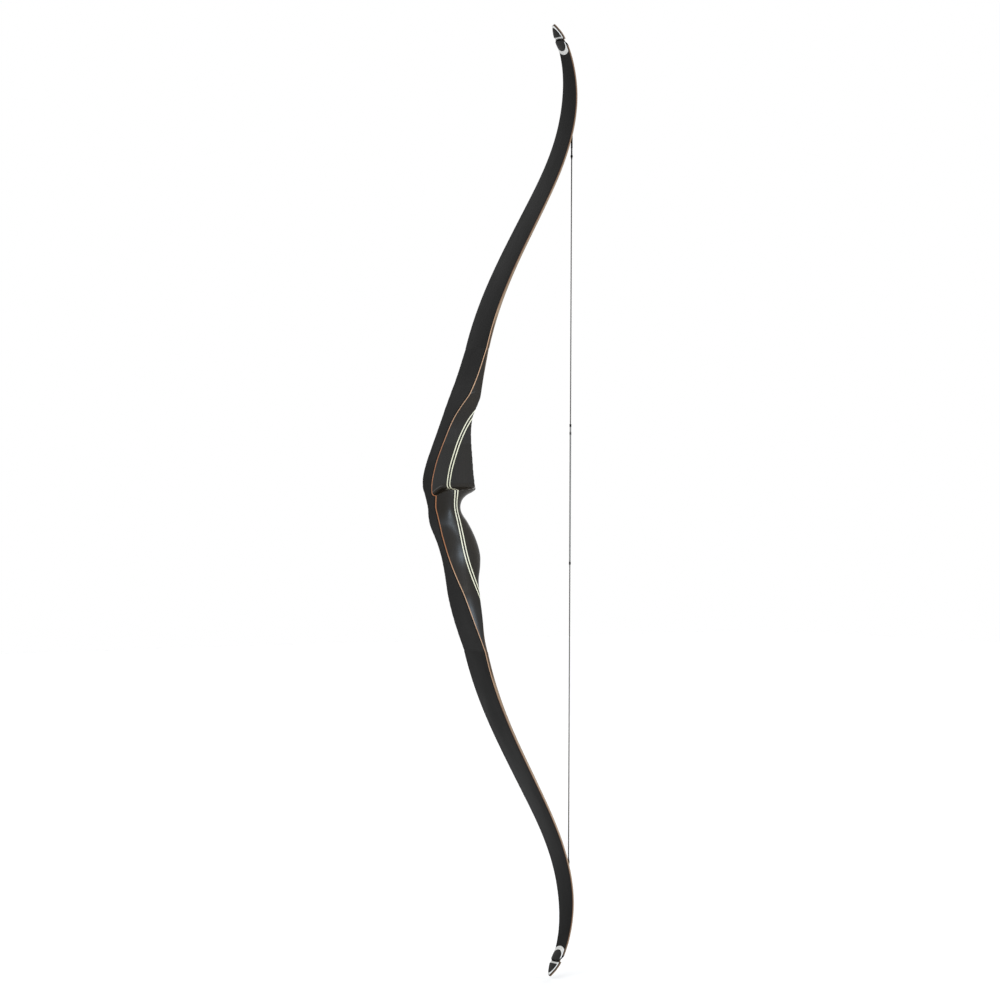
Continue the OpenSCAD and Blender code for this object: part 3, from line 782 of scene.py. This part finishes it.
width_points = [
    (0, 51), (120, 47.15), (245, 44.5), (350, 38.9), (432, 33.5), (490, 24.6), (512, 21.3), (523, 19.8),
    (532, 17.6), (537, 15), (543, 10.4), (548, 6), (551, 3),
]
glue_lines = {
    "back": lambda s: 0 * s, "glass": lambda s: glass_t + 0 * s,
    "core": lambda s: glass_t + back_core_t + 0 * s, "belly": lambda s: thick(s) - glass_t,
}
belly_facing = facing("belly_glass", *resin, (0.25, 0.165, 0.095))
layers = {
    "back_glass": (glue_lines["back"], glue_lines["glass"], dark_glass, "dark_glass"),
    "back_core": (glue_lines["glass"], glue_lines["core"], back_core_wood, "back_core_wood"),
    "belly_core": (glue_lines["core"], glue_lines["belly"], core_wood, "core_wood"),
    "belly_glass": (glue_lines["belly"], thick, belly_facing, "dark_glass"),
}


def corner(w, d, r, inward):
    """Points round the corner of a strip, from its side to its face."""
    if r == 0:
        return [(w, d)]
    turn = np.radians(np.linspace(0, 90, 6))
    return [(w - r + r * math.cos(a), d + inward * r * (1 - math.sin(a))) for a in turn]


def swept(name, runs, rings):
    """A closed mesh from equal rings of limb points, one for each run."""
    faces = tube_faces(len(runs), len(rings) // len(runs))
    return outward(mesh_of(name, on_limb(np.array(rings)), faces))


def strip(layer, s_from, s_to):
    """One lamination of the upper limb. Its lower end is cut level where it meets the riser."""
    top, bottom = layers[layer][:2]
    runs = np.linspace(s_from, s_to, int((s_to - s_from) / 3) + 1)
    rings = []
    for s in runs:
        w = float(curve(width_points, s)) / 2
        near = corner(w, float(top(s)), edge_r if layer == "back_glass" else 0, 1)
        far = corner(w, float(bottom(s)), edge_r if layer == "belly_glass" else 0, -1)
        ring = near + [(-y, d) for y, d in near[::-1]] + [(-y, d) for y, d in far] + far[::-1]
        shear = math.tan(math.radians(lean_root)) * max(0, 1 - s / 40)
        rings += [(y, d, s + d * shear) for y, d in ring]
    return swept(layer, runs, rings)


def on_side(side, mesh):
    """A copy of an upper limb's piece for that side; the lower limb is the same upside down."""
    made = mesh.copy()
    if side == "lower":
        points, _ = arrays(made)
        made.vertices.foreach_set("co", (points * (1, 1, -1)).ravel())
        made.flip_normals()
    return made


def laid_along(side):
    """The laid-up coordinates of a limb's pieces; the lower limb has other wood."""
    if side == "upper":
        return off_limb
    return lambda points: off_limb(points * (1, 1, -1)) + (310, 40, 0)


ways = {"upper": 1, "lower": -1}
for layer, (_, _, material, slot) in layers.items():
    for part, mesh in (("inner", strip(layer, 0, joint_s)), ("outer", strip(layer, joint_s, tip_s))):
        for side, sign in ways.items():
            name = side + "_" + part + "_" + layer
            piece = place(name, on_side(side, mesh), material, laid_along(side))
            if part == "inner":
                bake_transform(piece)
            else:
                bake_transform(piece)


# Limb tips
# A pale strip and a dark one are glued on the back of each tip, then filed to a long
# oval with a crescent of the pale strip showing. The string groove is filed through.
nock_s = 527.0
neck_w = 12.0
loop_r = 1.15
clearance = 0.3
groove_r = loop_r + 0.12
pale_t = 1.6
dark_t = 2.2
crescent_s = 501.6
crescent_bend = 0.036
crescent_len = 17.0
fall_s = 529.0
sunk = 0.1


def overlay_height(s, y, w):
    """Height of the filed overlays above the back of the limb. They start just under it."""
    climb = np.clip((s - crescent_s - crescent_bend * y * y) / crescent_len, 0, 1)
    climb = 0.75 * climb + 0.25 * climb * (2 - climb)
    fall = np.clip((s - fall_s) / (limb_len - fall_s), 0, 1)
    crown = 1 - 0.42 * np.abs(y / w) ** 3
    return (pale_t + dark_t + sunk) * climb * (1 - 0.72 * fall ** 1.7) * crown - sunk


def tip_blank():
    """The end of the limb with its overlays filed, before the groove is cut."""
    runs = np.concatenate([
        np.arange(tip_s - 8, crescent_s - 1, 2), np.arange(crescent_s - 1, limb_len + 0.1, 0.6)])
    rings = []
    for s in runs:
        w = float(curve(width_points, s)) / 2
        y = np.linspace(1, -1, 33) * w
        rings += [(a, b, s) for a, b in zip(y, -overlay_height(s, y, w))]
        rings += [(a, float(thick(s)), s) for a in (-w, -w / 2, 0, w / 2, w)]
    return swept("tip", runs, rings)


nock_lean = float(lean_at(nock_s))
nock_at = on_limb(np.array([[0, -loop_r - 0.5, nock_s]]))[0]
nock_in = np.array([math.cos(nock_lean), 0, -math.sin(nock_lean)])
nock_out = np.array([math.sin(nock_lean), 0, math.cos(nock_lean)])


def at_nock(outline, low, high):
    """A prism across the tip of an outline given in depth and run from the nock."""
    placed = [nock_at + a * nock_in + b * nock_out for a, b in outline]
    return prism("nock", [(p[0], p[2]) for p in placed], "Y", low, high)


def beside_cord(degrees, side, run):
    """A point of a straight line that passes the cord in the groove on that side."""
    a, r = math.radians(degrees), loop_r + clearance
    return (side * r * math.cos(a) + run * math.sin(a), side * r * math.sin(a) - run * math.cos(a))


round_end = np.linspace(-math.pi / 2, math.pi / 4, 13)
groove = [(-10, -groove_r)] + [(groove_r * math.cos(a), groove_r * math.sin(a)) for a in round_end]
groove += [(0.05, 4.2), (-2.4, 4.9), (-10, 5.6)]
notch_r = groove_r + 0.04
notch = [
    (-10, notch_r), (0, notch_r), beside_cord(57, 1, 0), beside_cord(57, 1, 16), beside_cord(25, -1, 24),
    beside_cord(25, -1, 0), (-10, -notch_r),
]
tip = boolean(tip_blank(), at_nock(groove, -20, 20), "DIFFERENCE")
for low, high in ((neck_w / 2, 26), (-26, -neck_w / 2)):
    tip = boolean(tip, at_nock(notch, low, high), "DIFFERENCE")
tip = eased(remeshed(tip, 0.42), 5)


def sliced_tip(mesh, column, level, keep_low):
    """The part of a tip below or above a level of its depth (column 1) or run (column 2)."""
    def field(points):
        q = off_limb(points)
        return np.column_stack([q[:, column] - level(q[:, 2]), q[:, 0], q[:, 3 - column]])

    def back(points):
        q = np.zeros_like(points)
        q[:, 0], q[:, 3 - column] = points[:, 1], points[:, 2]
        q[:, column] = points[:, 0] + level(q[:, 2] if column == 1 else tip_s)
        return on_limb(q)

    return capped_side(mesh, field, back, keep_low, 1.6)


dark_overlay = facing(
    "dark_overlay", (0.005, 0.0055, 0.0055), (0.010, 0.010, 0.0095), (0.018, 0.017, 0.016), 0.2)
pale_overlay = wood("pale_overlay", (0.66, 0.665, 0.65), (0.79, 0.80, 0.79), 0.3, 0.1)
tip_layers = {
    "dark_overlay": (None, lambda s: -pale_t + 0 * s, dark_overlay, "dark_overlay"),
    "pale_overlay": (None, glue_lines["back"], pale_overlay, "pale_accent"),
    **layers,
}
tip = sliced_tip(tip, 2, lambda s: tip_s, False)
for layer, (_, level, material, slot) in tip_layers.items():
    mesh = tip
    if layer != "belly_glass":
        mesh, tip = sliced_tip(tip, 1, level, True), sliced_tip(tip, 1, level, False)
    for side in ways:
        name = side + ("_" if "overlay" in layer else "_outer_") + layer
        piece = place(name, on_side(side, mesh), material, laid_along(side))
        piece.name = side + "_tip_" + layer
        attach(piece, side + "_limb_outer")


# Bowstring
# A twisted string of black and fawn strands. Its two ends are spliced back on
# themselves, which makes the loops and the thick parts over the recurves.
def grow(source, group, material, **values):
    """The mesh that a Geometry Nodes group grows from the source mesh, with the normals out.
    Its inputs are named with underscores for spaces."""
    given = {"Material": material, **{key.replace("_", " "): value for key, value in values.items()}}
    inputs = {
        item.identifier: given[item.name] for item in group.interface.items_tree
        if item.in_out == "INPUT" and item.name in given
    }
    return outward(worked(source, "NODES", inputs, node_group=group))


def marked_with(group, curves, values):
    """The curves with the attribute strand, which their material reads."""
    return node(group, "GeometryNodeStoreNamedAttribute", {
        "Geometry": curves, "Name": "strand",
        "Value": node(group, "ShaderNodeCombineXYZ", values).outputs[0],
    }, data_type="FLOAT_VECTOR", domain="POINT").outputs["Geometry"]


def end_in_tubes(group, given, curves, sides, radius):
    """Ends a tree in round tubes along its curves, made real and given their material."""
    ring = node(group, "GeometryNodeCurvePrimitiveCircle", {
        "Resolution": sides, "Radius": radius}, mode="RADIUS")
    tube = node(group, "GeometryNodeCurveToMesh", {
        "Curve": curves, "Profile Curve": ring.outputs["Curve"], "Fill Caps": True})
    real = node(group, "GeometryNodeRealizeInstances", {"Geometry": tube.outputs["Mesh"]})
    finish = node(group, "GeometryNodeSetMaterial", {
        "Geometry": real.outputs["Geometry"], "Material": given["Material"]})
    node(group, "NodeGroupOutput", {"Geometry": finish.outputs["Geometry"]})


def twisted_group():
    """Strands laid round a path in a helix, each a round tube. Sizes in millimetres."""
    group, given = new_group("twisted_strands", "GeometryNodeTree", [
        ("Geometry", "Geometry"), ("Strands", "Int", 3), ("Helix Radius", "Float", 0.6),
        ("Strand Radius", "Float", 0.5), ("Turn Length", "Float", 12.0), ("Step", "Float", 0.8),
        ("Sides", "Int", 12), ("Material", "Material"),
    ], [("Geometry", "Geometry")])
    path = node(group, "GeometryNodeMeshToCurve", {"Mesh": given["Geometry"]})
    even = node(group, "GeometryNodeResampleCurve", mode="LENGTH", inputs={
        "Curve": path.outputs["Curve"], "Length": given["Step"]})
    copies = node(group, "GeometryNodeDuplicateElements", domain="SPLINE", inputs={
        "Geometry": even.outputs["Curve"], "Amount": given["Strands"]}).outputs
    share = math_node(group, "DIVIDE", copies["Duplicate Index"], given["Strands"])
    length = node(group, "GeometryNodeSplineParameter").outputs["Length"]
    turns = math_node(group, "ADD", share, math_node(group, "DIVIDE", length, given["Turn Length"]))
    turned = node(group, "ShaderNodeVectorRotate", rotation_type="AXIS_ANGLE", inputs={
        "Vector": node(group, "GeometryNodeInputNormal").outputs[0],
        "Axis": node(group, "GeometryNodeInputTangent").outputs[0],
        "Angle": math_node(group, "MULTIPLY", turns, 2 * math.pi)})
    offset = node(group, "ShaderNodeVectorMath", operation="SCALE", inputs={
        0: turned.outputs[0], "Scale": given["Helix Radius"]})
    marked = marked_with(group, copies["Geometry"], {"X": share, "Z": length})
    moved = node(group, "GeometryNodeSetPosition", {"Geometry": marked, "Offset": offset.outputs[0]})
    end_in_tubes(group, given, moved.outputs["Geometry"], given["Sides"], given["Strand Radius"])
    return group


twisted = twisted_group()


def strand_material(name, dark, fawn, roughness, waxed_to=0.0):
    """Waxed fibre: each strand dark or fawn, with its fibres and specks of wax. The wax
    worked in near a splice darkens the strands over the first waxed_to millimetres."""
    made = bpy.data.materials.new(name)
    tree = emptied(made)
    strand = node(tree, "ShaderNodeSeparateXYZ", {0: attribute(tree, "strand")}).outputs
    here = node(tree, "ShaderNodeTexCoord").outputs["Object"]
    turn = math_node(tree, "FRACT", math_node(tree, "MULTIPLY", strand["X"], 2.0))
    ply = mix_colors(tree, ramp(tree, turn, 0.2, 0.3), dark, fawn)
    if waxed_to:
        clean = ramp(tree, strand["Z"], 0.15 * waxed_to, waxed_to)
        ply = mix_colors(tree, clean, tuple(3 * c for c in dark), ply)
    fibres = speckle(tree, here, (5200, 5200, 900), 3.0, 0.38, 0.64, 0.65)
    fuzzed = mix_colors(tree, fibres, ply, (0.5, 0.5, 0.5), "SOFT_LIGHT")
    wax = speckle(tree, here, (620, 620, 620), 2.0, 0.55, 0.72)
    waxed = mix_colors(tree, wax, fuzzed, tuple(0.5 * (a + b) for a, b in zip(dark, fawn)))
    surfaced(tree, {
        "Base Color": waxed, "Roughness": roughness, "Specular IOR Level": 0.07,
        "Normal": bumped(tree, fibres, 0.4, 0.0001)})
    return made


def joined(meshes):
    """One mesh made of several."""
    def gather(work):
        for mesh in meshes:
            work.from_mesh(mesh)

    return edited(bpy.data.meshes.new("joined"), gather)


def path_mesh(points, per_path=0):
    """A mesh of edges from point to point, or of many paths with so many points each."""
    made = bpy.data.meshes.new("path")
    ends = [i for i in range(1, len(points)) if not per_path or i % per_path]
    made.from_pydata([tuple(p) for p in points], [(i - 1, i) for i in ends], [])
    return made


def upright(z_from, z_to, count):
    """A straight path along the string between two heights."""
    return path_mesh([(string_x, 0, z) for z in np.linspace(z_from, z_to, count)])


def smooth_path(points, step):
    """A path of points close together on the smooth curve through the given ones."""
    p = np.array(points, float)
    t = np.concatenate([[0], np.cumsum(np.linalg.norm(np.diff(p, axis=0), axis=1))])
    at = np.linspace(0, t[-1], int(t[-1] / step) + 1)
    return path_mesh(np.column_stack([curve(list(zip(t, p[:, k])), at) for k in range(3)]))


def rest_point(s, r, y=0.0):
    """Where a cord of radius r rests on the belly of the recurve."""
    return on_limb(np.array([[y, float(thick(s)) + r + clearance, s]]))[0]


def leg(way):
    """One leg of the loop, from the groove down to the splice."""
    y = neck_w / 2 + loop_r + clearance
    round_nock = [
        (y - 2.8, 0, 0), (y - 1.3, 0, -0.1), (y - 0.3, 0.2, -0.9), (y, 1.3, -2.5), (y, 3.6, -6.4),
        (y - 0.1, 6, -10.8),
    ]
    on_belly = [
        (16, y - 0.8), (21, y - 2.4), (27, y - 4.4), (32, loop_r + 0.5),
        (nock_s - join_s, loop_r + 0.05),
    ]
    across = np.array([0, way, 0])
    points = [nock_at + a * across + b * nock_in + c * nock_out for a, b, c in round_nock]
    return points + [rest_point(nock_s - down, loop_r, way * a) for down, a in on_belly]


def plies(radius, count):
    """The number of strands, and the helix and strand radius that fill a cord of that radius."""
    strand_r = radius / (1 + 1 / math.sin(math.pi / count))
    return {"Strands": count, "Helix_Radius": radius - strand_r, "Strand_Radius": strand_r * 1.02}


def show_cord(name, side, mesh, material, body):
    """Shows a mesh made for the upper side as that side's piece, and has it move with body."""
    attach(place(side + name, on_side(side, mesh), material), side + body)


splice_r = 1.4
taper_r = 1.25
string_r = 0.95
lift_s = max(range(392, 528), key=lambda s: on_limb(np.array([[0, float(thick(s)), s]]))[0][0])
string_x, _, lift_z = rest_point(lift_s, splice_r)
splice_end = {"upper": lift_z - 98, "lower": lift_z - 71}
thick_end = {"upper": lift_z - 88, "lower": lift_z - 71}
join_s = nock_s - 38
contact_s = join_s - 0.3
served_string = strand_material("served_string", (0.004, 0.0038, 0.0035), (0.011, 0.010, 0.009), 0.62)
bare_string = strand_material("bare_string", (0.012, 0.012, 0.011), (0.22, 0.21, 0.20), 0.7, 105.0)
loop_path = smooth_path(leg(-1)[::-1] + leg(1), 0.8)
contact_path = smooth_path(
    [rest_point(contact_s + (lift_s - contact_s) * i / 8, splice_r) for i in range(9)], 0.8)
for part, path, radius, turn, body in (
    ("string_loop", loop_path, loop_r, 9.0, "_loop"),
    ("string_contact", contact_path, splice_r, 13.0, "_contact"),
):
    mesh = grow(path, twisted, served_string, Turn_Length=turn, **plies(radius, 3))
    for side in ways:
        show_cord("_" + part, side, mesh, served_string, body)
for side in ways:
    path = upright(lift_z - 0.3, thick_end[side], 60)
    parts = [grow(path, twisted, served_string, Turn_Length=13.0, **plies(splice_r + 0.1, 4))]
    if thick_end[side] > splice_end[side]:
        path = upright(thick_end[side] + 2, splice_end[side], 20)
        parts.append(grow(path, twisted, served_string, Turn_Length=12.0, **plies(taper_r, 4)))
    show_cord("_string_splice", side, joined(parts), served_string, "_half_string")


# Ends of the splices
# Where a splice ends, the strands' ends are left as a short blunt tuft round the
# string, thicker than the string on either side of it.
tag_len = 7.0
golden_turn = 2.399963
tag_ends = 34
points_each = 9
for side in ways:
    tuft = []
    for k in range(tag_ends):
        a = golden_turn * k
        lift_out = 0.55 + 0.45 * ((k * 7) % 11) / 10
        drop = tag_len * (0.86 + 0.14 * ((k * 5) % 7) / 6)
        for t in np.linspace(0, 1, points_each):
            r = 1.05 + (0.7 * lift_out) * math.sin(math.pi * min(1, 1.25 * t)) - 0.2 * t
            b = a + 0.7 * t
            tuft.append((string_x + r * math.cos(b), r * math.sin(b), splice_end[side] - drop * t))
    mesh = grow(path_mesh(tuft, points_each), twisted, served_string,
                Strands=1, Helix_Radius=0.0, Strand_Radius=0.26, Step=0.7, Sides=7)
    show_cord("_splice_tag", side, mesh, served_string, "_half_string")


# Bare string
# Between the splices and the centre serving the twisted strands are left bare.
# They run on a little way into the serving.
serving_len = {"upper": 118, "lower": 100}
for side in ways:
    path = upright(splice_end[side] + 3, serving_len[side] - 6, 200)
    mesh = grow(path, twisted, bare_string, Turn_Length=9.5, **plies(string_r, 4))
    show_cord("_string", side, mesh, bare_string, "_half_string")


# Centre serving
# A fine thread wound tight round the middle of the string keeps it from chafing.
# Its ends are wound over with darker thread. The arrow's nock goes on at its middle.
def wound_group():
    """A thread wound in a close spiral up from the origin. Sizes in millimetres."""
    group, given = new_group("wound_thread", "GeometryNodeTree", [
        ("Geometry", "Geometry"), ("Turns", "Float", 100.0), ("Winding Radius", "Float", 1.3),
        ("Height", "Float", 50.0), ("Thread Radius", "Float", 0.3), ("Tone", "Float", 0.3),
        ("Start", "Vector"), ("Material", "Material"),
    ], [("Geometry", "Geometry")])
    spiral = node(group, "GeometryNodeCurveSpiral", {
        "Resolution": 20, "Rotations": given["Turns"], "Start Radius": given["Winding Radius"],
        "End Radius": given["Winding Radius"], "Height": given["Height"]})
    moved = node(group, "GeometryNodeTransform", {
        "Geometry": spiral.outputs["Curve"], "Translation": given["Start"]})
    marked = marked_with(group, moved.outputs["Geometry"], {"X": given["Tone"]})
    end_in_tubes(group, given, marked, 8, given["Thread Radius"])
    return group


wound = wound_group()
thread_r = 0.26
thread_pitch = 0.47
thread_tone = 0.3
wind_r = 1.3 - thread_r
whipping_r = 0.2
nocking_r = 1.26
nocking_len = 0.95
nocking_gap = 0.04
full_draw_slope = 0.56


def string_core(high, radius):
    """The string inside the serving. At the nocking point it is as thick as the thread, and
    slants away on the side of the bow, where the two halves close up at full draw."""
    ends = [(0.08, nocking_gap), (nocking_r, nocking_gap)]
    profile = ends + [(nocking_r, nocking_len), (radius, nocking_len + 0.12)]
    profile += [(radius, z) for z in np.arange(nocking_len + 2, high, 2)] + [(radius, high)]
    rings = []
    for k, (r, z) in enumerate(profile):
        slope = full_draw_slope if k < len(ends) else 0.0
        for a in np.linspace(0, 2 * math.pi, 24, endpoint=False):
            x = r * math.cos(a)
            rings.append((string_x + x, r * math.sin(a), z + slope * max(0.0, -x)))
    made = outward(mesh_of("core", rings, tube_faces(len(profile), 24)))
    tone = made.attributes.new("strand", "FLOAT_VECTOR", "POINT")
    tone.data.foreach_set("vector", [thread_tone, 0.0, 0.0] * len(made.vertices))
    return made


def winding(low, **values):
    """A thread wound round the string, from the height low up."""
    return grow(bpy.data.meshes.new("empty"), wound, wound_serving, Start=(string_x, 0, low), **values)


wound_serving = strand_material("serving_thread", (0.006, 0.006, 0.0055), (0.255, 0.255, 0.25), 0.55)
whippings = {"upper": ((101.3, 0.12), (113.5, 0.0)), "lower": ((95.0, 0.0),)}
for side, length in serving_len.items():
    parts = [
        winding(1.1, Turns=(length - 1.45) / thread_pitch, Winding_Radius=wind_r, Height=length - 1.55,
                Thread_Radius=thread_r),
        string_core(length - 0.6, wind_r + 0.05),
    ]
    for low, tone in whippings[side]:
        parts.append(winding(low, Turns=11.0, Winding_Radius=wind_r + thread_r + 0.05, Height=4.2,
                             Thread_Radius=whipping_r, Tone=tone))
    show_cord("_serving", side, joined(parts), wound_serving, "_half_string")
